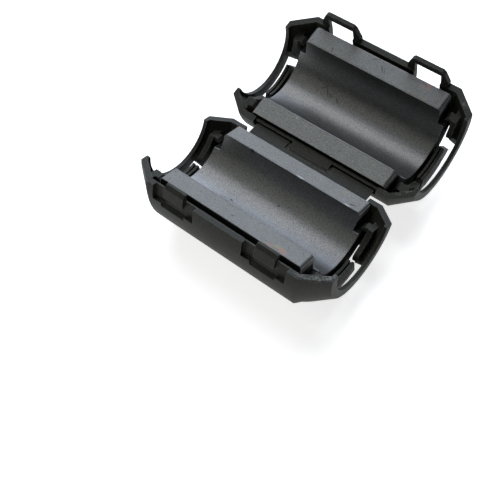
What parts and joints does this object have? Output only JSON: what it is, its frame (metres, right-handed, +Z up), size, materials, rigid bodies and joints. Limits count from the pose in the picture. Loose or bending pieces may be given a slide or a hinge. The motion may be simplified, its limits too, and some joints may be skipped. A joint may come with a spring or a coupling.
{
  "type": "clip-on ferrite core",
  "caption": "Clip-on ferrite core for a round cable, lying open: grey half cores in a black moulded clamshell with a living hinge.",
  "frame": {"origin": "middle of the open clip's footprint, on the surface that it lies on", "axes": "+X along the cable, +Y from the half with the catches to the half with the loops, +Z up"},
  "size_m": [0.0374, 0.0474, 0.0184],
  "materials": {
    "nylon": "fine moulded grain, black",
    "ferrite": "sintered and ground, grey"
  },
  "bodies": {
    "lower": {"lower_shell": "nylon", "lower_core": "ferrite"},
    "web": {"hinge_web": "nylon"},
    "upper": {"upper_shell": "nylon", "upper_core": "ferrite"}
  },
  "joints": [
    {"name": "lower_fold", "type": "hinge", "parent": "lower", "child": "web", "pos_m": [0, -0.00133, 0.00816], "axis": [1, 0, 0], "range_deg": [0, 74.42]},
    {"name": "upper_fold", "type": "hinge", "parent": "web", "child": "upper", "pos_m": [0, 0.00133, 0.00816], "axis": [1, 0, 0], "range_deg": [0, 74.42]}
  ],
  "couplings": [
    {"joint": "upper_fold", "follows": "lower_fold", "ratio": 1}
  ]
}
